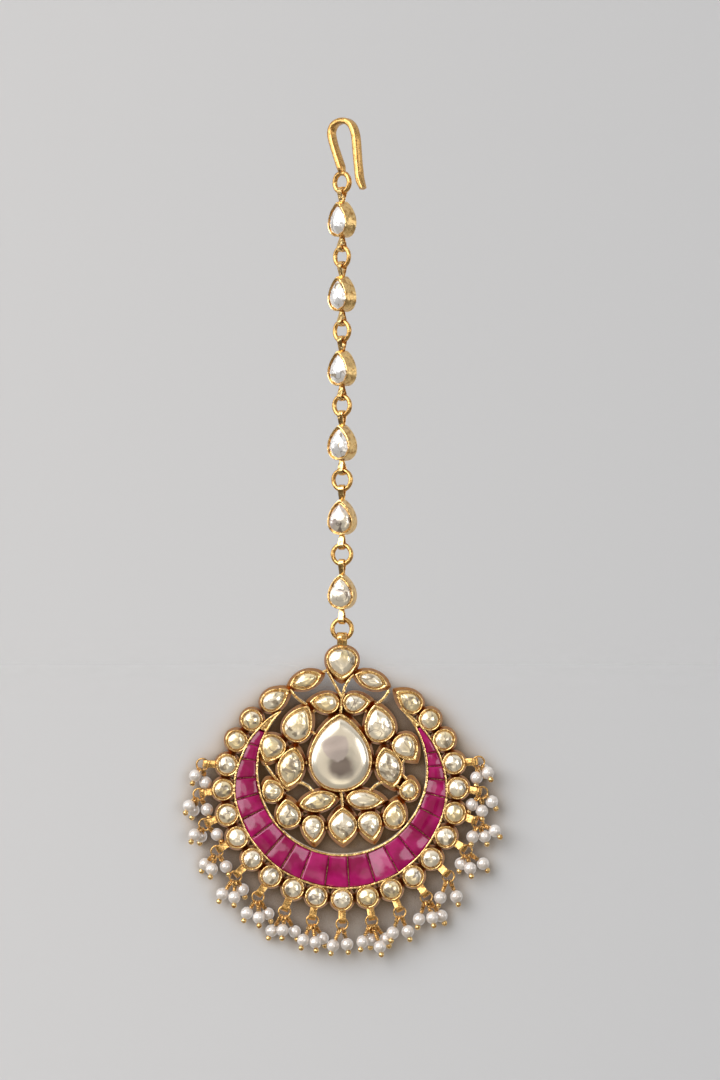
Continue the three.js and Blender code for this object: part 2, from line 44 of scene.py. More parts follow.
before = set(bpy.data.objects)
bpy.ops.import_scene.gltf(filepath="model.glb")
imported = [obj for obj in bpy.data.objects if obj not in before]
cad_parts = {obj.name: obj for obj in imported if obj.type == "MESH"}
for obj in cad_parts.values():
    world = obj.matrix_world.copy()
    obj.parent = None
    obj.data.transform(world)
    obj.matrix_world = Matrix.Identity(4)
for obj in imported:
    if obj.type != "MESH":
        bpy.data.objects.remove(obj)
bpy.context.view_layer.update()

MM = 0.001
SEED = 7

# Sizes that the solids have too
HOOK_WIDTH = 6.3 * MM
HOOK_DROP = 11.3 * MM
HOOK_WIRE = 0.9 * MM
HOOK_TURN = -40
EYE_R = 1.8 * MM
RING_R = 1.855 * MM
LINK_TALL = 6.85 * MM
LINK_WIDE = 5.2 * MM
LINK_DEPTH = 2.85 * MM
STRAP_RISE = 1.81 * MM
STRAP_SHIFT = 0.1 * MM
FIELD_R = 16 * MM
PLATE_DEPTH = 2.4 * MM
PLATE_SET = 0.1 * MM
CUP_FLOOR = 0.5 * MM
CROWN = 0.6 * MM
BAIL_RISE = 1.35 * MM
RIM_CUP = 4.45 * MM
RIM_LAP = 0.3 * MM
RIM_COUNT = 21
RIM_FROM = 61
RIM_TO = 300
RIM_BARE = 2
LOOP_REACH = 1.5 * MM
DROP_RING_R = 1.12 * MM
DROP_LIFT = 0.1 * MM
DROP_LEAN = 10

Spot = namedtuple("Spot", "across down")
HOOK_ROUTE = [
    Spot(-0.04, 0.78), Spot(-0.24, 0.51), Spot(-0.37, 0.31), Spot(-0.41, 0.17), Spot(-0.28, 0.05),
    Spot(0.04, 0), Spot(0.35, 0.065), Spot(0.52, 0.23), Spot(0.59, 0.51), Spot(0.65, 0.81),
    Spot(0.71, 1.01), Spot(0.83, 1.165),
]

# Turns about the chain's line in degrees, and the cut of each link's stone: 1 is faceted, 0 is domed
Turns = namedtuple("Turns", "link ring faceted")
CHAIN = [
    Turns(-46, -45, 1), Turns(-46, -43, 1), Turns(-42, -37, 1),
    Turns(-33, -27, 1), Turns(-20, -19, 0), Turns(-16, -5, 0),
]

# Cut stones in shares of FIELD_R from the crescent's middle, turned clockwise from straight up
Stone = namedtuple("Stone", "name right up tall wide turn tip foot")
STONES = [
    Stone("centre", -0.02, 0.21, 0.95, 0.77, 0, 0.5, 0),
    Stone("upper_left", -0.51, 0.56, 0.48, 0.36, 27, 0.6, 0),
    Stone("upper_right", 0.44, 0.56, 0.48, 0.38, -12, 0.6, 0),
    Stone("inner_left", -0.21, 0.8, 0.37, 0.26, -87, 0.6, 0),
    Stone("inner_right", 0.18, 0.8, 0.35, 0.26, 84, 0.6, 0),
    Stone("top", 0, 1.27, 0.42, 0.39, 180, 0.5, 0),
    Stone("leaf_left", -0.43, 1.07, 0.42, 0.23, 70, 0.5, 0.5),
    Stone("leaf_right", 0.35, 1.07, 0.43, 0.23, 110, 0.5, 0.5),
    Stone("outer_left", -0.79, 0.85, 0.4, 0.27, 55, 0.6, 0),
    Stone("outer_right", 0.79, 0.83, 0.38, 0.27, -54, 0.6, 0),
    Stone("side_left", -0.84, 0.25, 0.37, 0.33, 205, 0.6, 0),
    Stone("side_right", 0.77, 0.26, 0.38, 0.32, 143, 0.6, 0),
    Stone("blade_left", -0.61, 0.03, 0.52, 0.33, 12, 0.5, 0.5),
    Stone("blade_right", 0.56, 0.03, 0.52, 0.33, -14, 0.5, 0.5),
    Stone("bud_left", -0.83, -0.24, 0.3, 0.27, -25, 0.3, 0),
    Stone("bud_right", 0.8, -0.23, 0.28, 0.24, 10, 0.3, 0),
    Stone("base_left", -0.28, -0.37, 0.49, 0.26, 76, 0.5, 0.5),
    Stone("base_right", 0.28, -0.35, 0.48, 0.25, 94, 0.6, 0.2),
    Stone("lower_left", -0.64, -0.51, 0.37, 0.31, -8, 0.5, 0),
    Stone("lower_right", 0.63, -0.52, 0.37, 0.29, 10, 0.5, 0),
    Stone("foot_left", -0.34, -0.71, 0.36, 0.28, 176, 0.6, 0),
    Stone("foot_right", 0.34, -0.67, 0.38, 0.3, 168, 0.6, 0),
    Stone("kite", 0.01, -0.66, 0.47, 0.36, 0, 0.9, 0.9),
]

# Gold strips in shares of FIELD_R: from, to, and how far the middle bows to the left of that way
Strip = namedtuple("Strip", "right up to_right to_up bow")
STRIPS = [
    Strip(-0.18, 1.19, -0.01, 0.87, 0), Strip(0.14, 1.14, 0.01, 0.87, 0.03),
    Strip(0, 0.92, -0.02, 0.66, 0), Strip(-0.62, 0.96, -0.42, 0.78, 0.02),
    Strip(0.56, 0.95, 0.4, 0.78, -0.02), Strip(-0.94, 0.12, -0.63, -0.24, 0.03),
    Strip(0.8, 0.16, 0.78, -0.12, 0.1), Strip(-0.72, -0.22, -0.33, -0.27, -0.1),
    Strip(0.7, -0.22, 0.33, -0.25, 0.1), Strip(-0.02, -0.2, 0.01, -0.45, 0),
]

# Solder bridges low at the back of the cups: from one middle to the other
BRIDGES = [
    ("centre", "upper_right"), ("centre", "blade_left"), ("centre", "blade_right"), ("top", "leaf_left"),
    ("top", "leaf_right"), ("kite", "foot_left"), ("kite", "foot_right"), ("centre", "upper_left"),
    ("upper_left", "inner_left"), ("upper_right", "inner_right"),
]

# The crescent's outer edge as a share of FIELD_R, by the angle anticlockwise from straight up
Edge = namedtuple("Edge", "angle edge")
CRESCENT = [
    Edge(46, 1.02), Edge(56, 1.08), Edge(62, 1.11), Edge(72, 1.17), Edge(83, 1.22), Edge(94, 1.29),
    Edge(105, 1.33), Edge(127, 1.37), Edge(148, 1.4), Edge(183, 1.42), Edge(209, 1.41), Edge(232, 1.36),
    Edge(255, 1.3), Edge(272, 1.22), Edge(284, 1.16), Edge(298, 1.09), Edge(317, 1.02),
]

# Where one ruby ends and the next begins, by the same angle
RUBY_ENDS = [
    64, 74, 83.5, 94.5, 105.5, 116, 127, 138, 148, 159, 171.5,
    183.5, 196.5, 209, 220.5, 232, 244, 255, 264.5, 272.5, 281, 299,
]

# The pearls of each drop in shares of a pearl from its ring's middle: right, down, back
DROPS = [
    [(-0.56, 0.88, -0.12), (0.24, 1.44, 0.12)],
    [(-0.8, 0.88, -0.45), (-0.48, 1.28, 0.45), (0.6, 1.2, 0)],
    [(-0.8, 0.8, -0.45), (-0.32, 0.96, 0.45), (0.96, 0.8, 0)],
    [(-0.96, 1.04, 0.4), (-0.4, 1.36, -0.4), (0.72, 1.2, 0)],
    [(-1.04, 1.36, 0), (-0.08, 1.6, -0.3), (0.56, 1.04, 0.3)],
    [(-0.88, 1.28, 0.1), (0.08, 1.6, -0.35), (0.8, 1.36, 0.35)],
    [(-1.04, 1.52, 0.3), (-0.16, 1.44, -0.2), (0.8, 1.6, 0.4)],
    [(-0.72, 1.52, -0.25), (0.24, 1.68, -0.4), (0.8, 1.44, 0.4)],
    [(-0.72, 1.68, -0.3), (0.4, 1.6, 0)],
    [(-0.72, 1.6, -0.4), (-0.08, 1.52, 0.4), (0.64, 2, -0.35), (1.12, 1.44, 0.35)],
    [(-0.56, 1.6, -0.3), (0.64, 1.52, 0)],
    [(-0.56, 1.76, 0.1), (0.48, 1.6, -0.35), (1.2, 1.52, 0.35)],
    [(-0.64, 1.68, 0), (0.64, 1.6, 0)],
    [(-0.4, 1.04, 0.3), (0.32, 1.36, -0.32), (1.36, 1.04, 0.2)],
    [(-0.4, 1.12, -0.15), (0.56, 1.12, 0.15), (1.36, 0.64, -0.4)],
    [(-0.8, 0.96, 0.1), (0, 1.44, -0.1), (0.8, 0.72, 0.1)],
    [(-0.16, 1.2, -0.1), (0.4, 0.64, 0.5), (0.72, 0.8, -0.45)],
]

# The room round the piece, painted over its dim light in order: a direction, how far the patch reaches, its
# blur and its light
ROOM_DIM = (0.13, 0.12, 0.11, 1)
Patch = namedtuple("Patch", "towards reach soft light")
ROOM = [
    Patch((0, 0, 1), 0.9, 0.4, (0.75, 0.75, 0.75)),
    Patch((0, 0, -1), 0.9, 0.35, (0.28, 0.25, 0.2)),
    Patch((0.3, 1, 0.4), 0.7, 0.3, (0.8, 0.8, 0.8)),
    Patch((0, 1, 0), 0.6, 0.15, (0.04, 0.035, 0.03)),
    Patch((-1, -0.1, 0.1), 0.28, 0.05, (2.4, 2.4, 2.4)),
    Patch((1, -0.1, 0.1), 0.28, 0.06, (1.6, 1.6, 1.6)),
    Patch((0, -1, 0), 0.42, 0.12, (0.52, 0.46, 0.39)),
    Patch((-0.62, -0.7, 0.45), 0.44, 0.06, (4.6, 4.6, 4.7)),
    Patch((-0.2, -1, 0.28), 0.13, 0.03, (2.6, 2.6, 2.6)),
    Patch((0.5, -1, 0.1), 0.2, 0.03, (3.6, 3.6, 3.7)),
    Patch((-0.05, -1, -0.45), 0.16, 0.05, (1.3, 1.2, 1.0)),
    Patch((0.2, -1, 0.45), 0.12, 0.04, (0.1, 0.09, 0.08)),
    Patch((0.04, -1, -0.13), 0.09, 0.03, (0.09, 0.085, 0.08)),
]

# A stone's foot lies this far below its cup's lip, its side stands upright, and its top rises from there
STONE_SUNK = 0.6 * MM
GIRDLE = 0.4 * MM
STONE_RISE = CROWN + 0.2 * MM

# A cup's faces that lean more than this from the front take its second gold: painted shade, a darker brown
# gold, in the pendant's cups, and hammered gold in the links
STEEP = 0.6

# The fringe's fine wire: a pin's two loops, and the coil below them
COIL_WIRE = 0.24 * MM
COIL_R = 0.34 * MM
COIL_START = 0.7 * MM
PIN_LOOP_R = 0.56 * MM

CAMERA_AT = (3.42 * MM, -0.8, -79.4 * MM)

LIP = -PLATE_DEPTH / 2
BACK = PLATE_DEPTH / 2
TOP = next(s for s in STONES if s.name == "top")
HINGE = (TOP.up + TOP.tall / 2) * FIELD_R + BAIL_RISE
LINK_REACH = LINK_TALL / 2 + STRAP_RISE
LINK_STEP = 2 * LINK_REACH + 2 * RING_R
WIRE_AT = -HOOK_DROP - EYE_R - len(CHAIN) * LINK_STEP
PENDANT_AT = Matrix.Translation((0, PLATE_SET, WIRE_AT - HINGE))
ACROSS = Vector((1, 0, 0))
THROUGH = Vector((0, 1, 0))
DOWN = Vector((0, 0, -1))


def length(name, description, size):
    """The setting for a length, from its default in millimetres."""
    return FloatProperty(name=name, description=description, default=size * MM, unit="LENGTH")


def colour(name, description, *shade):
    """The setting for a colour, from its default's red, green and blue."""
    return FloatVectorProperty(name=name, description=description, default=(*shade, 1), size=4,
                               subtype="COLOR")


class TikkaSizes(PropertyGroup):
    """Sizes of the fine work."""

    wall: length("Cup wall", "From a cup's outline at half depth to its stone", 0.44)
    flare: length("Cup flare", "How far a cup's back stands out beyond its outline", 0.3)
    link_wall: length("Link wall", "From a link's outline to its stone", 0.34)
    channel_wall: length("Channel wall", "Thickness of the crescent's two walls", 0.4)
    seam: length("Seam", "Dark gap between a lip and its stone", 0.12)
    lip_round: length("Lip rounding", "Radius that the lip's edges are burnished to", 0.12)
    hook_wide: length("Hook wire", "The hook's flattened wire, across in its own plane", 1.2)
    hook_thick: length("Hook wire depth", "The same wire, across through that plane", 1.85)
    eye_wire: length("Eye wire", "Thickness of the hook's eye", 1.0)
    ring_wire: length("Ring wire", "Thickness of the jump rings' wire", 0.88)
    strap_wide: length("Strap width", "Width of a link's folded strap", 1.15)
    strap_thick: length("Strap sheet", "Thickness of the straps' sheet", 0.28)
    strip_thick: length("Strip sheet", "Thickness of the strips between the cups", 0.6)
    pearl: length("Pearl", "Diameter of a pearl", 2.4)
    ball: length("Gold ball", "Diameter of the ball under a pearl", 1.1)
    drop_wire: length("Drop wire", "Thickness of the fringe's rings and pins", 0.36)


class TikkaColours(PropertyGroup):
    """Colours of the metal, the stones and the pearls."""

    gold: colour("Gold", "Burnished gold", 0.93, 0.64, 0.27)
    # Random darker mottling over all the gold, and the lighter end of the painted shade on the steep cup
    # walls
    gold_deep: colour("Deep gold", "Gold in its unburnished hollows", 0.58, 0.32, 0.1)
    gold_satin: colour("Satin gold", "Gold of the hook, the rings and the loops", 0.76, 0.45, 0.15)
    gold_wire: colour("Wire gold", "Dull gold of the fine wire", 0.3, 0.2, 0.08)
    # Painted shade: the darker brown gold of the steep cup walls, standing for the shade between the cups
    gold_painted_shade: colour("Hollow gold", "Brown gold between the cups", 0.5, 0.2, 0.03)
    foil_warm: colour("Warm foil", "Foil that takes up the gold behind it", 0.95, 0.78, 0.45)
    foil_broad: colour("Broad foil", "Foil under the centre stone", 0.9, 0.82, 0.66)
    foil_white: colour("White foil", "Foil under the links' stones", 0.95, 0.94, 0.92)
    foil: colour("Foil", "Silver foil seen through the clear stones", 1, 0.9, 0.7)
    # Dark creases and folds of the foil, and painted shade low on the centre stone
    foil_crease_and_painted_shade: colour("Foil shade", "Grey shade under the broad stone", 0.3, 0.24, 0.2)
    # Pinkish grey that tints the links' champagne foil at random, and a painted reflection on the centre
    # stone
    foil_blush_and_painted_reflection: colour("Foil blush", "Pinkish grey under the broad stone", 0.7, 0.6, 0.54)
    foil_dark: colour("Foil folds", "Dark folds in the foil", 0.44, 0.36, 0.25)
    ruby: colour("Ruby", "Ruby", 0.24, 0.002, 0.055)
    ruby_light: colour("Light ruby", "Paler pink in some rubies", 0.44, 0.01, 0.14)
    pearl: colour("Pearl", "Cream of the pearls", 0.86, 0.81, 0.76)
    pearl_deep: colour("Pearl shade", "Darker patches of the pearls", 0.7, 0.62, 0.55)
    paper: colour("Backdrop", "Paper behind the piece", 0.6, 0.6, 0.6)
    # Painted light falloff: the backdrop is painted darker towards the right, away from the light on the left
    paper_right_painted_shade: colour("Backdrop's right", "The paper away from the window", 0.535, 0.54, 0.545)
    # Painted shade on the near sheet, chosen by ambient occlusion from the pendant: warm beside it and dark
    # brown where no light gets in
    near_shade: colour("Shade beside the pendant", "Tint of the paper close by", 0.86, 0.76, 0.66)
    under: colour("Shade under the pendant", "Tint where no light gets in", 0.14, 0.085, 0.05)


def named_inputs(node, inputs):
    """Sets a node's inputs by name."""
    for name, value in inputs.items():
        node.inputs[name.replace("_", " ")].default_value = value
    return node


def add_node(tree, kind, **inputs):
    return named_inputs(tree.nodes.new(kind), inputs)


def fed(tree, node, *terms):
    """Feeds a node's inputs in turn, each with a value or with another node's output."""
    for slot, term in zip(node.inputs, terms):
        if isinstance(term, bpy.types.NodeSocket):
            tree.links.new(term, slot)
        else:
            slot.default_value = term
    return node


def worked(tree, operation, *terms, kind="ShaderNodeMath", result=0):
    """The result of a maths node."""
    node = tree.nodes.new(kind)
    node.operation = operation
    return fed(tree, node, *terms).outputs[result]


def over(tree, factor, low, high, blend="MIX"):
    """A colour that gives way to another along a factor."""
    mix = tree.nodes.new("ShaderNodeMixRGB")
    mix.blend_type = blend
    return fed(tree, mix, factor, low, high).outputs["Color"]


def finish_of(name, **looks):
    """A material of this name: its shader comes along while it's still to be set up."""
    if name in bpy.data.materials:
        return bpy.data.materials[name], None
    material = bpy.data.materials.new(name)
    material.use_nodes = True
    return material, named_inputs(material.node_tree.nodes["Principled BSDF"], looks)


def blotches(tree, scale, detail=3.0, swirl=0.0):
    """Noise that stays with the piece, as a number from 0 to 1."""
    place = add_node(tree, "ShaderNodeTexCoord")
    cloud = add_node(tree, "ShaderNodeTexNoise", Scale=scale, Detail=detail, Distortion=swirl)
    tree.links.new(place.outputs["Object"], cloud.inputs["Vector"])
    return cloud.outputs["Fac"]


def toned(tree, factor, *stops):
    """Colours along a factor, at a row of stops."""
    ramp = add_node(tree, "ShaderNodeValToRGB")
    elements = ramp.color_ramp.elements
    for element, (position, colour) in zip(elements, (stops[0], stops[-1])):
        element.position = position
        element.color = colour
    for position, colour in stops[1:-1]:
        elements.new(position).color = colour
    tree.links.new(factor, ramp.inputs["Fac"])
    return ramp.outputs["Color"]


def between(tree, factor, low, high, span=(0.3, 0.7)):
    """Colours between two, along a factor."""
    return toned(tree, factor, (span[0], low), (span[1], high))


def ranged(tree, factor, low, high, span=(0.3, 0.7)):
    """Numbers between two, along a factor."""
    scale = add_node(tree, "ShaderNodeMapRange", From_Min=span[0], From_Max=span[1], To_Min=low, To_Max=high)
    scale.interpolation_type = "SMOOTHSTEP"
    tree.links.new(factor, scale.inputs["Value"])
    return scale.outputs["Result"]


def dented(tree, shader, *layers):
    """Bump in layers, each a height from 0 to 1 and how deep it goes."""
    below = None
    for height, depth in layers:
        bump = add_node(tree, "ShaderNodeBump", Distance=depth)
        tree.links.new(height, bump.inputs["Height"])
        if below:
            tree.links.new(below.outputs["Normal"], bump.inputs["Normal"])
        below = bump
    tree.links.new(below.outputs["Normal"], shader.inputs["Normal"])


def gold(finish="burnished"):
    """Warm high-carat gold: burnished, hammered or satin, dull in the fine wire, and painted shade, a darker
    brown, for the steep cup walls.
    """
    material, shader = finish_of(f"gold_{finish}", Metallic=1.0)
    if shader is None:
        return material
    colours = bpy.context.scene.tikka_colours
    tree = material.node_tree
    low, high, span, smooth, rough, dent = {
        "burnished": (colours.gold_deep, colours.gold, (0.35, 0.5), 0.12, 0.28, 0.2),
        "hammered": (colours.gold_deep, colours.gold, (0.35, 0.5), 0.26, 0.42, 0.25),
        "satin": (colours.gold_deep, colours.gold_satin, (0.35, 0.5), 0.2, 0.36, 0.12),
        "wire": (colours.gold_wire, colours.gold_satin, (0.35, 0.5), 0.2, 0.36, 0.15),
        # Painted shade: the steep cup walls' darker brown gold
        "painted_shade": (colours.gold_painted_shade, colours.gold_deep, (0.48, 0.8), 0.3, 0.45, 0.3),
    }[finish]
    tone = between(tree, blotches(tree, 1300), low, high, span)
    tree.links.new(tone, shader.inputs["Base Color"])
    dents = blotches(tree, 900, 2.0)
    grain = blotches(tree, 4000, 2.0)
    tree.links.new(ranged(tree, grain, smooth, rough), shader.inputs["Roughness"])
    dented(tree, shader, (dents, dent * MM), (grain, 0.015 * MM))
    return material


def foiled_stone(foil="warm"):
    """Clear stone over crumpled foil: dark folds and thin creases swirl under a glossy face. The centre stone
    instead takes a painted shade low down and a painted reflection, pinkish grey, left of its middle.
    """
    material, shader = finish_of(f"stone_on_{foil}_foil", Metallic=0.62, Roughness=0.2, Coat_Weight=1.0,
                                 Coat_Roughness=0.03)
    if shader is None:
        return material
    colours = bpy.context.scene.tikka_colours
    tree = material.node_tree
    if foil == "broad":
        # Painted shade: a grey spot low on the centre stone
        tone = over(tree, spot(tree, (0.2, -2.7), (1.3, 3.1)), colours.foil_crease_and_painted_shade, colours.foil_broad)
        # Painted reflection: a pinkish-grey spot left of the centre stone's middle
        tone = over(tree, spot(tree, (-0.85, 0.95), (2.2, 2.7)), colours.foil_blush_and_painted_reflection, tone)
        waves, depth = 130, 0.15 * MM
    else:
        fold, near, far, scale, span = {
            "warm": (colours.foil_dark, colours.foil, colours.foil_warm, 340, (0.37, 0.46)),
            "white": (colours.foil_dark, colours.foil_white, colours.foil_white, 320, (0.34, 0.42)),
            "champagne": (colours.foil_crease_and_painted_shade, colours.foil_blush_and_painted_reflection, colours.foil_broad, 420, (0.38, 0.46)),
        }[foil]
        drift = between(tree, blotches(tree, 90), near, far, (0.45, 0.55))
        folded = ranged(tree, blotches(tree, scale, 2.0, 1.2), 0, 1, span)
        tone = over(tree, crease(tree, scale * 0.9), colours.foil_crease_and_painted_shade, over(tree, folded, fold, drift))
        waves, depth = 420, 0.3 * MM
    tree.links.new(tone, shader.inputs["Base Color"])
    dented(tree, shader, (blotches(tree, waves, 1.0, 0.8), depth))
    return material


def spot(tree, at, reach, ragged=1.6):
    """A spot with a ragged edge on the centre stone, in millimetres from its middle: 0 inside and 1 away. It
    places the painted shade and the painted reflection there.
    """
    place = add_node(tree, "ShaderNodeTexCoord").outputs["Object"]
    cloud = fed(tree, add_node(tree, "ShaderNodeTexNoise", Scale=400, Detail=2.0), place).outputs["Color"]
    size = (ragged * MM, 0, ragged * MM)
    torn = worked(tree, "MULTIPLY_ADD", cloud, size, place, kind="ShaderNodeVectorMath")
    flat = worked(tree, "MULTIPLY", torn, (1, 0, 1), kind="ShaderNodeVectorMath")
    centre = scaled(next(row for row in STONES if row.name == "centre"))
    right = centre.right + (at[0] + ragged / 2) * MM
    up = PENDANT_AT.translation.z + centre.up + (at[1] + ragged / 2) * MM
    away = worked(tree, "DISTANCE", flat, (right, 0, up), kind="ShaderNodeVectorMath", result="Value")
    return ranged(tree, away, 0, 1, (reach[0] * MM, reach[1] * MM))


def crease(tree, scale):
    """Thin curved lines: 0 on a line and 1 away from it."""
    level = worked(tree, "SUBTRACT", blotches(tree, scale, 0.0, 1.0), 0.5)
    return ranged(tree, worked(tree, "ABSOLUTE", level), 0.15, 1, (0.004, 0.02))


def ruby():
    """Deep pink ruby with paler zones under a polished face."""
    material, shader = finish_of("polished_ruby", Roughness=0.05, IOR=1.5)
    if shader is None:
        return material
    colours = bpy.context.scene.tikka_colours
    tree = material.node_tree
    zones = blotches(tree, 260)
    tone = between(tree, zones, colours.ruby, colours.ruby_light, (0.4, 0.7))
    tree.links.new(tone, shader.inputs["Base Color"])
    dented(tree, shader, (zones, 0.06 * MM))
    return material


def pearl():
    """Cream pearl with a soft lustre."""
    material, shader = finish_of("pearl_skin", Metallic=0.35, Roughness=0.28, IOR=1.6, Coat_Weight=1.0,
                                 Coat_Roughness=0.06)
    if shader is None:
        return material
    colours = bpy.context.scene.tikka_colours
    tree = material.node_tree
    skin = blotches(tree, 500, 4.0)
    tone = between(tree, skin, colours.pearl_deep, colours.pearl)
    tree.links.new(tone, shader.inputs["Base Color"])
    dented(tree, shader, (skin, 0.03 * MM))
    return material


def edges_of(verts):
    """The edges at these corners, each once and in the same order every time."""
    return list(dict.fromkeys(edge for vert in verts for edge in vert.link_edges))


def corners_of(edges):
    return list(dict.fromkeys(vert for edge in edges for vert in edge.verts))


def circle(bm, corners):
    """Edges of a circle of radius 1, seen from the front."""
    turn = Matrix.Rotation(math.pi / 2, 4, "X")
    return edges_of(bmesh.ops.create_circle(bm, segments=corners, radius=1, matrix=turn)["verts"])


def stone_outline(bm, form, corners=40):
    """A circle drawn out to a cut stone's outline, its tip up."""
    edges = circle(bm, corners)
    reach = {}
    for vert in corners_of(edges):
        t = math.atan2(vert.co.x, vert.co.z) % math.tau
        reach[vert] = math.sin(t) * math.sin(t / 2) ** form.tip * abs(math.cos(t / 2)) ** form.foot
    widest = max(reach.values())
    for vert, share in reach.items():
        vert.co.x = share / widest * form.wide / 2
        vert.co.z *= form.tall / 2
    return edges


def drawn_in(form, wall, depth):
    """Sets an outline a wall further in, twice as far at a sharp end, and at a depth."""
    tip = min(form.tip * 2, 1) * wall
    foot = min(form.foot * 2, 1) * wall
    tall = form.tall - 2 * wall - tip - foot
    wide = form.wide - 2 * wall
    shape = Matrix.Diagonal((wide / form.wide, 1, tall / form.tall, 1))
    return Matrix.Translation((0, depth, (foot - tip) / 2)) @ shape


def stack(bm, edges, places, closed=False):
    """Walls from one outline to the next, then caps, or one more wall back to the first."""
    first = edges
    bmesh.ops.transform(bm, matrix=places[0], verts=corners_of(edges))
    for before, after in zip(places, places[1:]):
        made = bmesh.ops.extrude_edge_only(bm, edges=edges)["geom"]
        verts = {item for item in made if isinstance(item, bmesh.types.BMVert)}
        bmesh.ops.transform(bm, matrix=after @ before.inverted(), verts=list(verts))
        edges = [item for item in made if isinstance(item, bmesh.types.BMEdge) and set(item.verts) <= verts]
    if closed:
        bmesh.ops.bridge_loops(bm, edges=first + edges)
    else:
        bmesh.ops.edgeloop_fill(bm, edges=first)
        bmesh.ops.edgeloop_fill(bm, edges=edges)
    return edges


def section(bm, across, through, corners=10, square=1.0):
    """Edges of a wire's section: round at 1, and with flatter sides below it."""
    verts = bmesh.ops.create_circle(bm, segments=corners, radius=1)["verts"]
    for vert in verts:
        x, y = vert.co.x, vert.co.y
        vert.co.x = math.copysign(abs(x) ** square, x) * across / 2
        vert.co.y = math.copysign(abs(y) ** square, y) * through / 2
    return edges_of(verts)


def stations(path, binormal, closed=False):
    """Places along a path that turn a section to face along it."""
    places = []
    for i, point in enumerate(path):
        before = path[i - 1] if closed or i else point
        after = path[(i + 1) % len(path)] if closed or i < len(path) - 1 else point
        along = (after - before).normalized()
        side = binormal.cross(along).normalized()
        turn = Matrix((side, along.cross(side), along)).transposed().to_4x4()
        places.append(Matrix.Translation(point) @ turn)
    return places


def run(bm, path, binormal, across, through, corners=10, square=1.0, closed=False, taper=None):
    """A wire or ribbon along a path: across lies in the path's plane and through along its binormal."""
    places = stations(path, binormal, closed)
    if taper:
        places = [place @ Matrix.Scale(size, 4) for place, size in zip(places, taper)]
    stack(bm, section(bm, across, through, corners, square), places, closed)


def arc(middle, radius, start, end, steps, right=ACROSS, up=-DOWN):
    """Points on an arc: angles in degrees from right towards up."""
    turns = [math.radians(start + (end - start) * i / steps) for i in range(steps + 1)]
    return [middle + right * math.cos(t) * radius + up * math.sin(t) * radius for t in turns]


def smooth_path(points, steps):
    """A path through points, with steps of an even share between each two."""
    path = []
    ends = [2 * points[0] - points[1], *points, 2 * points[-1] - points[-2]]
    for a, b, c, d in zip(ends, ends[1:], ends[2:], ends[3:]):
        for i in range(steps):
            t = i / steps
            path.append(0.5 * (2 * b + (c - a) * t + (2 * a - 5 * b + 4 * c - d) * t * t
                               + (3 * b - 3 * c + d - a) * t ** 3))
    return [*path, points[-1]]


def ball(bm, middle, radius, around=20, rows=12):
    place = Matrix.Translation(middle)
    bmesh.ops.create_uvsphere(bm, u_segments=around, v_segments=rows, radius=radius, matrix=place)


def folded_strap(bm, hole, wall, wide, reach, spread, waist=1.0):
    """A strap folded round a pin at the origin, its two legs reaching down and together."""
    middle = hole + wall / 2
    legs = [Vector((0, spread, -reach)), Vector((0, spread * 1.15, -reach * 0.72))]
    bend = arc(Vector(), middle, -25, 205, 16, THROUGH, -DOWN)
    path = [legs[0], legs[1], *bend, Vector((0, -legs[1].y, legs[1].z)), Vector((0, -spread, -reach))]
    narrow = [waist, (waist + 2) / 3]
    taper = [*narrow, *[1.0] * len(bend), *reversed(narrow)]
    run(bm, path, ACROSS, wall, wide, corners=12, square=0.45, taper=taper)


def wobble(bm, size, fine):
    """Moves corners a little, as hand work does: neighbours move together."""
    for vert in bm.verts:
        vert.co += noise.noise_vector(vert.co * fine) * size


def into_scene(name, bm, materials):
    """An object with a bmesh's faces."""
    mesh = bpy.data.meshes.new(name)
    bm.to_mesh(mesh)
    bm.free()
    for material in materials:
        mesh.materials.append(material)
    made = bpy.data.objects.new(name, mesh)
    bpy.context.scene.collection.objects.link(made)
    return made


def piece(name, bm, materials, body, nodes, smooth=40):
    """A finished piece from a bmesh: it rides on a body and stands for the solids of its nodes."""
    bmesh.ops.recalc_face_normals(bm, faces=bm.faces)
    made = into_scene(name, bm, materials)
    made.data.shade_smooth()
    made.data.set_sharp_from_angle(angle=math.radians(smooth))
    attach(made, body)
    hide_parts(*nodes)
    return made


def cup(bm, form, front, back, wall, flare, r, corners=40):
    """A closed cup round a stone: flat back, wall that leans in to the front, burnished lip and a seat."""
    old = set(bm.faces)
    rows = [
        (r - flare, back), (-flare, back - r), (-flare, 0.5 * back), (-0.3 * flare, 0),
        (0.15 * wall, 0.6 * front), (0.2 * wall, front + r), (0.3 * wall, front + 0.3 * r),
        (0.5 * wall, front), (wall - 0.9 * r, front + 0.2 * r), (wall - 0.2 * r, front + r),
        (wall, front + 5 * r),
    ]
    stack(bm, stone_outline(bm, form, corners), [drawn_in(form, *row) for row in rows])
    bm.normal_update()
    # Steep wall faces take the second material; in the pendant's cups that is painted shade, a darker brown
    # gold
    for face in set(bm.faces) - old:
        face.material_index = 1 if abs(face.normal.y) < STEEP else 0


def seated(bm, form, front, seat, rows, corners):
    """A stone upright in its seat, closed over by rows: a share of its outline and a height for each."""
    base = drawn_in(form, seat, front + STONE_SUNK)
    places = [base]
    for share, height in rows:
        up = Matrix.Translation((0, -GIRDLE - height, 0))
        places.append(up @ base @ Matrix.Diagonal((share, 1, share, 1)))
    stack(bm, stone_outline(bm, form, corners), places)


def domed(bm, form, front, seat, flat=2.0, corners=40):
    """A low domed stone."""
    shares = (1, 0.97, 0.9, 0.8, 0.66, 0.48, 0.28, 0.1)
    rows = [(share, STONE_RISE * math.sqrt(1 - share ** flat)) for share in shares]
    seated(bm, form, front, seat, rows, corners)


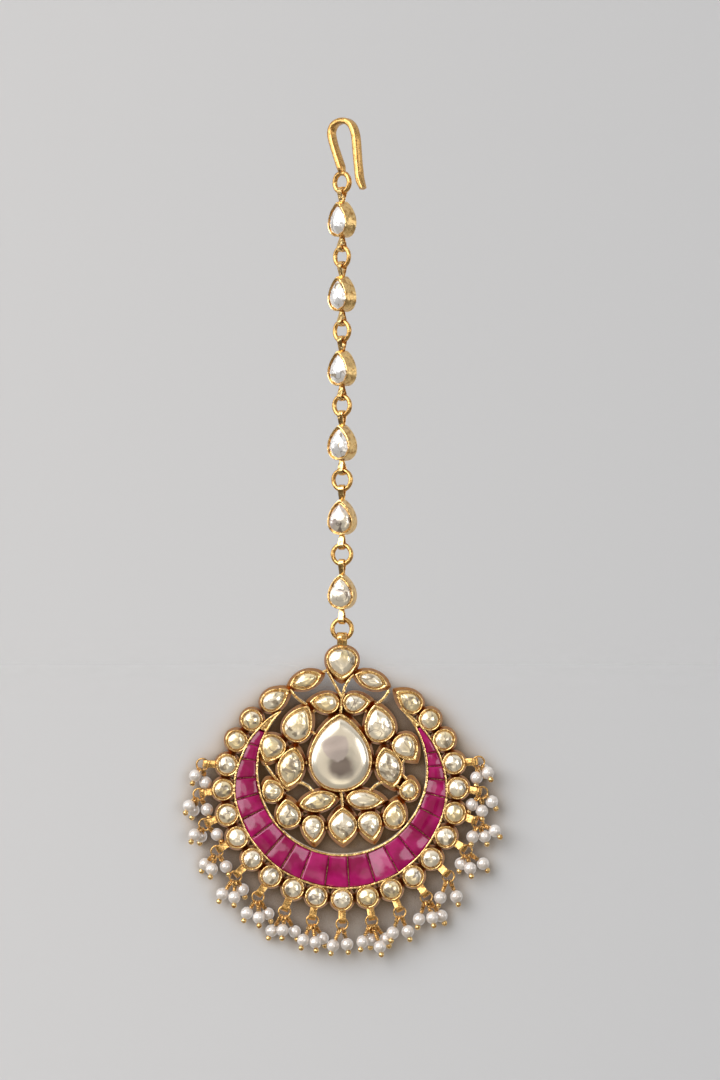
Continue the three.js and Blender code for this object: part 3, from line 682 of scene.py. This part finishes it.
def tabled(bm, form, front, seat, table, corners=10):
    """A cut stone: a belt of crown facets up to a flat table."""
    rows = [(1, 0), ((1 + table) / 2, STONE_RISE * 0.65), (table, STONE_RISE)]
    seated(bm, form, front, seat, rows, corners)


def scaled(row):
    """A stone's row at its real size."""
    return row._replace(right=row.right * FIELD_R, up=row.up * FIELD_R, tall=row.tall * FIELD_R,
                        wide=row.wide * FIELD_R)


def on_plate(row):
    """The place of a stone on the pendant."""
    turn = Matrix.Rotation(math.radians(row.turn), 4, "Y")
    return PENDANT_AT @ Matrix.Translation((row.right, 0, row.up)) @ turn


def polar(distance, angle, depth=0.0):
    turned = math.radians(angle)
    return Vector((-math.sin(turned) * distance, depth, math.cos(turned) * distance))


def crescent_edge(angle):
    """The crescent's outer edge at an angle, eased between the rows of its table."""
    n = max(1, next(i for i, row in enumerate(CRESCENT) if row.angle >= angle))
    a, b = CRESCENT[n - 1], CRESCENT[n]
    share = (angle - a.angle) / (b.angle - a.angle)
    return FIELD_R * (a.edge + (b.edge - a.edge) * share)


def rim_places():
    """Angle and place of each rim stone, at even steps along the crescent's outer edge."""
    steps = 480
    angles = [RIM_FROM + (RIM_TO - RIM_FROM) * i / steps for i in range(steps + 1)]
    spots = [polar(crescent_edge(angle) + RIM_CUP / 2 - RIM_LAP, angle) for angle in angles]
    walk = [0.0]
    for a, b in zip(spots, spots[1:]):
        walk.append(walk[-1] + (b - a).length)
    places = []
    for k in range(RIM_COUNT):
        wanted = walk[-1] * k / (RIM_COUNT - 1)
        i = next(j for j, length in enumerate(walk) if length >= wanted - 1e-9)
        places.append((angles[i], spots[i]))
    return places


RIM = rim_places()
CARRIERS = RIM[RIM_BARE:RIM_COUNT - RIM_BARE]


def moved(bm, start, matrix):
    """Moves what was made since a count of corners."""
    bm.verts.ensure_lookup_table()
    bmesh.ops.transform(bm, matrix=matrix, verts=bm.verts[start:])


class TIKKA_OT_hook(Operator):
    """Makes the hair hook from one flattened wire with an eye"""

    bl_idname = "tikka.hook"
    bl_label = "Hair hook"

    def execute(self, context):
        sizes = context.scene.tikka_sizes
        bm = bmesh.new()
        points = [Vector((0, 0, EYE_R - HOOK_DROP))]
        points += [Vector((s.across * HOOK_WIDTH, 0, HOOK_WIRE / 2 - s.down * HOOK_DROP)) for s in HOOK_ROUTE]
        path = smooth_path(points, 6)
        taper = [min(1.0, 0.7 + 0.05 * i, 0.8 + 0.04 * (len(path) - 1 - i)) for i in range(len(path))]
        run(bm, path, THROUGH, sizes.hook_wide, sizes.hook_thick, corners=16, square=0.5, taper=taper)
        eye = arc(Vector((0, 0, -HOOK_DROP)), EYE_R, 0, 360, 32)[:-1]
        run(bm, eye, THROUGH, sizes.eye_wire, sizes.eye_wire, 12, closed=True)
        moved(bm, 0, Matrix.Rotation(math.radians(HOOK_TURN), 4, "Z"))
        wobble(bm, size=0.05 * MM, fine=300)
        piece("hook", bm, [gold("satin")], "chain", ["hair_hook"])
        return {"FINISHED"}


class TIKKA_OT_rings(Operator):
    """Makes the jump rings of the chain"""

    bl_idname = "tikka.rings"
    bl_label = "Jump rings"

    def execute(self, context):
        wire = context.scene.tikka_sizes.ring_wire
        for i, turns in enumerate(CHAIN):
            bm = bmesh.new()
            middle = -HOOK_DROP - EYE_R - i * LINK_STEP - 2 * LINK_REACH - RING_R
            path = arc(Vector(), RING_R, 0, 360, 32)[:-1]
            run(bm, path, THROUGH, wire, wire, 12, closed=True)
            place = Matrix.Translation((0, 0, middle)) @ Matrix.Rotation(math.radians(turns.ring), 4, "Z")
            moved(bm, 0, place)
            wobble(bm, size=0.06 * MM, fine=500)
            piece(f"ring_{i + 1}", bm, [gold("satin")], "chain", [f"jump_ring_{i + 1}"])
        return {"FINISHED"}


class TIKKA_OT_links(Operator):
    """Makes the stone links with their folded straps"""

    bl_idname = "tikka.links"
    bl_label = "Stone links"

    def execute(self, context):
        sizes = context.scene.tikka_sizes
        form = Stone("link", 0, 0, LINK_TALL, LINK_WIDE, 0, 0.6, 0)
        front = -LINK_DEPTH / 2
        hole = sizes.ring_wire / 2 + 0.2 * MM
        metals = [gold(), gold("hammered")]
        for i, turns in enumerate(CHAIN):
            bm = bmesh.new()
            cup(bm, form, front, LINK_DEPTH / 2, sizes.link_wall, 0, sizes.lip_round)
            middle = LINK_TALL / 2 + STRAP_RISE + STRAP_SHIFT
            for turned, into_cup in ((0, 0.9 * MM), (math.pi, 0.5 * MM)):
                start = len(bm.verts)
                folded_strap(bm, hole, sizes.strap_thick, sizes.strap_wide, reach=STRAP_RISE + into_cup,
                             spread=0.25 * MM, waist=0.55)
                moved(bm, start, Matrix.Rotation(turned, 4, "Y") @ Matrix.Translation((0, 0, middle)))
            gold_faces = set(bm.faces)
            if turns.faceted:
                tabled(bm, form, front, sizes.link_wall + sizes.seam, table=0.45)
            else:
                domed(bm, form, front, sizes.link_wall + sizes.seam)
            for face in bm.faces:
                if face not in gold_faces:
                    face.material_index = 2
            step = -HOOK_DROP - EYE_R - i * LINK_STEP - LINK_REACH
            place = Matrix.Translation((0, 0, step)) @ Matrix.Rotation(math.radians(turns.link), 4, "Z")
            moved(bm, 0, place)
            wobble(bm, size=0.06 * MM, fine=400)
            finishes = [*metals, foiled_stone("white" if turns.faceted else "champagne")]
            piece(f"link_{i + 1}", bm, finishes, "chain", [f"chain_link_{i + 1}"], smooth=30)
        return {"FINISHED"}


class TIKKA_OT_cups(Operator):
    """Makes the cups of the middle stones, the strips between them and the top bail"""

    bl_idname = "tikka.cups"
    bl_label = "Middle cups"

    def execute(self, context):
        sizes = context.scene.tikka_sizes
        bm = bmesh.new()
        for row in map(scaled, STONES):
            start = len(bm.verts)
            cup(bm, row, LIP, BACK, sizes.wall, sizes.flare, sizes.lip_round)
            moved(bm, start, on_plate(row))
        start = len(bm.verts)
        high = PLATE_DEPTH * 0.75
        for strip in STRIPS:
            a = Vector((strip.right, 0, strip.up)) * FIELD_R
            b = Vector((strip.to_right, 0, strip.to_up)) * FIELD_R
            bow = THROUGH.cross(b - a) * strip.bow / (b - a).length * FIELD_R
            path = [a + (b - a) * t + bow * 4 * t * (1 - t) for t in (0, 0.2, 0.4, 0.6, 0.8, 1)]
            path = [point + THROUGH * (BACK - high / 2) for point in path]
            run(bm, path, THROUGH, sizes.strip_thick, high, corners=12, square=0.5)
        places = {row.name: Vector((row.right, 0, row.up)) for row in map(scaled, STONES)}
        low = PLATE_DEPTH * 0.4
        for a, b in BRIDGES:
            path = [places[end] + THROUGH * (BACK - low / 2) for end in (a, b)]
            run(bm, path, THROUGH, sizes.strip_thick, low, corners=12, square=0.5)
        bail = len(bm.verts)
        folded_strap(bm, hole=0.95 * MM, wall=0.32 * MM, wide=1.9 * MM, reach=BAIL_RISE + 0.4 * MM,
                     spread=0.6 * MM)
        moved(bm, bail, Matrix.Translation((0, -PLATE_SET, HINGE)))
        moved(bm, start, PENDANT_AT)
        wobble(bm, size=0.07 * MM, fine=350)
        # The cups' steep walls take painted shade, a darker brown gold
        piece("middle_cups", bm, [gold(), gold("painted_shade")], "pendant", ["pendant_frame"])
        return {"FINISHED"}


class TIKKA_OT_stones(Operator):
    """Makes the foiled stones of the middle, each in its cup"""

    bl_idname = "tikka.stones"
    bl_label = "Middle stones"

    def execute(self, context):
        sizes = context.scene.tikka_sizes
        seat = sizes.wall + sizes.seam
        for row in map(scaled, STONES):
            bm = bmesh.new()
            broad = row.name == "centre"
            domed(bm, row, LIP, seat, flat=5 if broad else 2.5)
            moved(bm, 0, on_plate(row))
            wobble(bm, size=0.07 * MM, fine=350)
            foil = foiled_stone("broad" if broad else "warm")
            piece(f"foiled_{row.name}", bm, [foil], "pendant", [f"stone_{row.name}"],
                  smooth=60)
        return {"FINISHED"}


class TIKKA_OT_crescent(Operator):
    """Makes the crescent channel that holds the rubies"""

    bl_idname = "tikka.crescent"
    bl_label = "Crescent channel"

    def execute(self, context):
        sizes = context.scene.tikka_sizes
        bm = bmesh.new()
        turn = CRESCENT[-1].angle - CRESCENT[0].angle
        self.section(bm, sizes.lip_round)
        steps = 160
        stack(bm, list(bm.edges), [Matrix.Translation((0, 0, i / steps)) for i in range(steps + 1)])
        for vert in bm.verts:
            across, depth, angle = vert.co.x, vert.co.y, CRESCENT[0].angle + vert.co.z * turn
            edge = crescent_edge(angle)
            wall = min(sizes.channel_wall, (edge - FIELD_R) * 0.45)
            ruby_end = min(angle - RUBY_ENDS[0], RUBY_ENDS[-1] - angle)
            if ruby_end < 0 and depth > LIP + sizes.lip_round * 1.5 and 0.9 < across < 2.1:
                depth = LIP + 0.12 * MM
            distance = FIELD_R + across * wall if across < 1.5 else edge - (3 - across) * wall
            vert.co = polar(distance, angle, depth)
        moved(bm, 0, PENDANT_AT)
        wobble(bm, size=0.07 * MM, fine=350)
        piece("crescent_channel", bm, [gold()], "pendant", ["pendant_frame"])
        return {"FINISHED"}

    def section(self, bm, r):
        """The channel laid flat: across is 0 to 1 through the inner wall and 2 to 3 through the outer one."""
        floor = BACK - CUP_FLOOR
        half = [(0, BACK), (0, LIP + r), (0.08, LIP + 0.3 * r), (0.3, LIP), (0.7, LIP), (0.92, LIP + 0.3 * r),
                (1, LIP + r), (1, floor)]
        corners = [*half, *[(3 - across, depth) for across, depth in reversed(half)]]
        verts = [bm.verts.new((across, depth, 0)) for across, depth in corners]
        for a, b in zip(verts, [*verts[1:], verts[0]]):
            bm.edges.new((a, b))


class TIKKA_OT_rubies(Operator):
    """Makes the rubies, each a tapered block with polished edges"""

    bl_idname = "tikka.rubies"
    bl_label = "Rubies"

    def execute(self, context):
        wall = context.scene.tikka_sizes.channel_wall
        chance = random.Random(SEED)
        bm = bmesh.new()
        for start, end in zip(RUBY_ENDS, RUBY_ENDS[1:]):
            seam = math.degrees(0.05 * MM / FIELD_R)
            angles = [start + seam + i * (end - start - 2 * seam) / 4 for i in range(5)]
            inner = [polar(FIELD_R + wall, angle) for angle in angles]
            outer = [polar(crescent_edge(angle) - wall, angle) for angle in angles]
            floor = BACK - CUP_FLOOR - 0.1 * MM
            base = bm.faces.new([bm.verts.new(p + THROUGH * floor) for p in [*inner, *reversed(outer)]])
            made = bmesh.ops.extrude_face_region(bm, geom=[base])["geom"]
            verts = [item for item in made if isinstance(item, bmesh.types.BMVert)]
            face = next(item for item in made if isinstance(item, bmesh.types.BMFace))
            bmesh.ops.translate(bm, vec=THROUGH * (LIP - 0.1 * MM - floor), verts=verts)
            lean = Matrix.Rotation(math.radians(chance.uniform(-7, 7)), 4, "X")
            lean = lean @ Matrix.Rotation(math.radians(chance.uniform(-7, 7)), 4, "Z")
            bmesh.ops.rotate(bm, cent=face.calc_center_median(), matrix=lean.to_3x3(), verts=verts)
            bmesh.ops.bevel(bm, geom=list(face.edges), offset=0.35 * MM, segments=2, profile=0.5,
                            affect="EDGES", material=-1, clamp_overlap=True)
        moved(bm, 0, PENDANT_AT)
        piece("rubies", bm, [ruby()], "pendant", ["ruby_band"], smooth=25)
        return {"FINISHED"}


class TIKKA_OT_rim(Operator):
    """Makes the round rim cups, their stones and the loops for the fringe"""

    bl_idname = "tikka.rim"
    bl_label = "Rim stones"

    def execute(self, context):
        sizes = context.scene.tikka_sizes
        form = Stone("rim", 0, 0, RIM_CUP, RIM_CUP, 0, 0, 0)
        metal, stones = bmesh.new(), bmesh.new()
        for angle, spot in RIM:
            place = PENDANT_AT @ Matrix.Translation(spot) @ Matrix.Rotation(math.radians(-angle), 4, "Y")
            start = len(metal.verts)
            cup(metal, form, LIP, BACK, sizes.wall, sizes.flare, sizes.lip_round, 28)
            moved(metal, start, place)
            start = len(stones.verts)
            domed(stones, form, LIP, sizes.wall + sizes.seam, corners=28)
            moved(stones, start, place)
        for angle, spot in CARRIERS:
            start = len(metal.verts)
            old = set(metal.faces)
            folded_strap(metal, hole=0.72 * MM, wall=0.26 * MM, wide=1.4 * MM, reach=LOOP_REACH + 0.4 * MM,
                         spread=0.35 * MM)
            for face in set(metal.faces) - old:
                face.material_index = 2
            turn = Matrix.Rotation(math.radians(-angle), 4, "Y")
            hole = turn @ Matrix.Translation((0, 0, RIM_CUP / 2 + LOOP_REACH))
            moved(metal, start, PENDANT_AT @ Matrix.Translation(spot) @ hole)
        for bm in (metal, stones):
            wobble(bm, size=0.08 * MM, fine=350)
        # The rim cups' steep walls take painted shade, a darker brown gold
        metals = [gold(), gold("painted_shade"), gold("satin")]
        piece("rim_cups", metal, metals, "pendant", ["pendant_frame"])
        piece("rim_stones", stones, [foiled_stone()], "pendant", ["pendant_frame"], smooth=60)
        return {"FINISHED"}


class TIKKA_OT_fringe(Operator):
    """Makes the pearl drops: a wire ring, coiled pins, pearls and a gold ball under each"""

    bl_idname = "tikka.fringe"
    bl_label = "Pearl fringe"

    def execute(self, context):
        sizes = context.scene.tikka_sizes
        for i, (pearls, (angle, spot)) in enumerate(zip(DROPS, CARRIERS)):
            lean = max(-DROP_LEAN, min(DROP_LEAN, 180 - angle))
            hole = polar(RIM_CUP / 2 + LOOP_REACH, angle)
            middle = spot + hole + polar(DROP_RING_R - DROP_LIFT, angle + lean)
            bm = bmesh.new()
            path = arc(Vector(), DROP_RING_R, 0, 360, 24)[:-1]
            run(bm, path, THROUGH, sizes.drop_wire, sizes.drop_wire, 8, closed=True)
            spots = [Vector((right, back, -down)) * sizes.pearl for right, down, back in pearls]
            for at in spots:
                hang = Vector((at.x, 0, at.z)).normalized() * DROP_RING_R
                self.pin(bm, hang, at, sizes)
            wires = set(bm.faces)
            for at in spots:
                flat = Vector((at.x, 0, at.z)).normalized()
                end = ((at - flat * DROP_RING_R).normalized() + DOWN * 0.6).normalized()
                ball(bm, at + end * (sizes.pearl / 2 + sizes.ball * 0.32), sizes.ball / 2, 14, 8)
            gold_faces = set(bm.faces)
            for at in spots:
                ball(bm, at, sizes.pearl / 2)
            for face in bm.faces:
                face.material_index = 0 if face in wires else 2 if face in gold_faces else 1
            moved(bm, 0, PENDANT_AT @ Matrix.Translation(middle))
            finishes = [gold("wire"), pearl(), gold()]
            piece(f"drop_{i + 1}", bm, finishes, "pendant", [f"pearl_drop_{i + 1}"], smooth=50)
        return {"FINISHED"}

    def pin(self, bm, hang, at, sizes):
        """A pin from the ring to the middle of its pearl: a loop round the ring's wire, then a coil."""
        along = (at - hang).normalized()
        side = along.cross(THROUGH).normalized()
        deep = along.cross(side)
        run(bm, [hang, at], THROUGH, sizes.drop_wire * 0.8, sizes.drop_wire * 0.8, 6)
        for swing, reach in ((0.6, 0.15), (-0.8, 0.5)):
            up = (deep + side * swing).normalized()
            loop = arc(hang + along * reach * MM, PIN_LOOP_R, 0, 360, 14, along, up)[:-1]
            run(bm, loop, along.cross(up), COIL_WIRE, COIL_WIRE, 6, closed=True)
        pitch, steps = 0.34 * MM, 10
        turns = max(1, round(((at - hang).length - sizes.pearl / 2 - COIL_START) / pitch))
        helix = []
        for j in range(turns * steps + 1):
            turn = j * math.tau / steps
            helix.append(hang + along * (COIL_START + pitch * j / steps) + side * COIL_R * math.cos(turn)
                         + deep * COIL_R * math.sin(turn))
        run(bm, helix, along, COIL_WIRE, COIL_WIRE, 6)


class TIKKA_OT_stage(Operator):
    """Sets the pale backdrop, the soft light and the camera"""

    bl_idname = "tikka.stage"
    bl_label = "Stage"

    def execute(self, context):
        scene = context.scene
        camera = bpy.data.objects.new("camera", bpy.data.cameras.new("camera"))
        scene.collection.objects.link(camera)
        camera.data.lens = 140
        camera.data.sensor_width = 36
        camera.location = CAMERA_AT
        camera.rotation_euler = (math.pi / 2, 0, 0)
        camera.data.clip_start = 0.01
        camera.data.clip_end = 20
        scene.camera = camera
        scene.view_settings.view_transform = "Standard"
        self.sheet("backdrop", depth=300 * MM, wide=2.4)
        self.sheet("near_sheet", depth=2.7 * MM, wide=0.24, near=True)
        self.studio(scene)
        return {"FINISHED"}

    def sheet(self, name, depth, wide, near=False):
        """Pale paper behind the piece that only shows from the front, painted darker towards the right as
        light falloff. The near one lies close behind the pendant, takes its shade and a painted shade from
        ambient occlusion, and fades out at its edges, so that the pendant can swing over its top."""
        bm = bmesh.new()
        upright = Matrix.Rotation(math.pi / 2, 4, "X")
        middle = Vector((0, depth, PENDANT_AT.translation.z))
        bmesh.ops.create_grid(bm, x_segments=1, y_segments=1, size=wide / 2, matrix=upright)
        bmesh.ops.translate(bm, vec=middle, verts=bm.verts)
        material = bpy.data.materials.new(name)
        made = into_scene(name, bm, [material])
        material.use_nodes = True
        tree = material.node_tree
        paper = named_inputs(tree.nodes["Principled BSDF"], {"Roughness": 0.9})
        colours = bpy.context.scene.tikka_colours
        place = add_node(tree, "ShaderNodeTexCoord").outputs["Object"]
        axes = fed(tree, add_node(tree, "ShaderNodeSeparateXYZ"), place).outputs
        spread = 70 * MM * (depth - CAMERA_AT[1]) / -CAMERA_AT[1]
        across = add_node(tree, "ShaderNodeMapRange", From_Min=-2 * spread, From_Max=2 * spread)
        across = fed(tree, across, axes["X"]).outputs["Result"]
        # Painted light falloff: lighter on the left, darker on the right, eased back to the mean at the far
        # edges
        plain = [(left + right) / 2 for left, right in zip(colours.paper, colours.paper_right_painted_shade)]
        tone = toned(tree, across, (0.175, plain), (0.25, colours.paper), (0.75, colours.paper_right_painted_shade),
                     (0.825, plain))
        gone = add_node(tree, "ShaderNodeNewGeometry").outputs["Backfacing"]
        if near:
            # Painted shade: ambient occlusion from the pendant darkens the paper towards brown, on top of the
            # real shade it receives
            closed_in = add_node(tree, "ShaderNodeAmbientOcclusion", Distance=8 * MM)
            closed_in.samples = 8
            shade = toned(tree, closed_in.outputs["AO"], (0.22, colours.under), (0.6, colours.near_shade),
                          (0.9, (1, 1, 1, 1)))
            tone = over(tree, 1, tone, shade, "MULTIPLY")
            aside = worked(tree, "ABSOLUTE", axes["X"])
            for fade in (ranged(tree, aside, 0, 1, (80 * MM, 118 * MM)),
                         ranged(tree, axes["Z"], 0, 1, (-112 * MM, -97 * MM)),
                         ranged(tree, axes["Z"], 1, 0, (-225 * MM, -195 * MM))):
                gone = worked(tree, "MAXIMUM", gone, fade)
            made.visible_diffuse = False
            made.visible_glossy = False
            made.visible_shadow = False
        tree.links.new(tone, paper.inputs["Base Color"])
        clear = add_node(tree, "ShaderNodeBsdfTransparent").outputs["BSDF"]
        mix = fed(tree, add_node(tree, "ShaderNodeMixShader"), gone, paper.outputs["BSDF"], clear)
        tree.links.new(mix.outputs["Shader"], tree.nodes["Material Output"].inputs["Surface"])

    def studio(self, scene):
        """The room that the metal and the stones mirror. The camera sees plain paper colour instead."""
        world = bpy.data.worlds.new("studio")
        scene.world = world
        world.use_nodes = True
        tree = world.node_tree
        place = add_node(tree, "ShaderNodeTexCoord").outputs["Generated"]
        seen = ROOM_DIM
        for patch in ROOM:
            towards = Vector(patch.towards).normalized()
            away = worked(tree, "DISTANCE", place, towards, kind="ShaderNodeVectorMath", result="Value")
            share = ranged(tree, away, 1, 0, (patch.reach - patch.soft, patch.reach + patch.soft))
            seen = over(tree, share, seen, (*patch.light, 1))
        eye = add_node(tree, "ShaderNodeLightPath").outputs["Is Camera Ray"]
        plain = over(tree, eye, seen, scene.tikka_colours.paper)
        tree.links.new(plain, tree.nodes["Background"].inputs["Color"])


class TIKKA_PT_panel(Panel):
    """Lists the pieces and the sizes"""

    bl_label = "Maang tikka"
    bl_idname = "TIKKA_PT_panel"
    bl_space_type = "VIEW_3D"
    bl_region_type = "UI"
    bl_category = "Tikka"

    def draw(self, context):
        for kind in OPERATORS:
            self.layout.operator(kind.bl_idname)
        for group in (context.scene.tikka_sizes, context.scene.tikka_colours):
            for name in group.__annotations__:
                self.layout.prop(group, name)


OPERATORS = [
    TIKKA_OT_hook, TIKKA_OT_rings, TIKKA_OT_links, TIKKA_OT_cups, TIKKA_OT_stones, TIKKA_OT_crescent,
    TIKKA_OT_rubies, TIKKA_OT_rim, TIKKA_OT_fringe, TIKKA_OT_stage,
]
CLASSES = [TikkaSizes, TikkaColours, *OPERATORS, TIKKA_PT_panel]


def register():
    for kind in CLASSES:
        bpy.utils.register_class(kind)
    bpy.types.Scene.tikka_sizes = PointerProperty(type=TikkaSizes)
    bpy.types.Scene.tikka_colours = PointerProperty(type=TikkaColours)


def unregister():
    del bpy.types.Scene.tikka_colours
    del bpy.types.Scene.tikka_sizes
    for kind in reversed(CLASSES):
        bpy.utils.unregister_class(kind)


def main():
    """Makes every piece and the stage."""
    noise.seed_set(SEED)
    register()
    bpy.ops.tikka.stage()
    bpy.ops.tikka.hook()
    bpy.ops.tikka.rings()
    bpy.ops.tikka.links()
    bpy.ops.tikka.cups()
    bpy.ops.tikka.stones()
    bpy.ops.tikka.crescent()
    bpy.ops.tikka.rubies()
    bpy.ops.tikka.rim()
    bpy.ops.tikka.fringe()


if __name__ == "__main__":
    main()
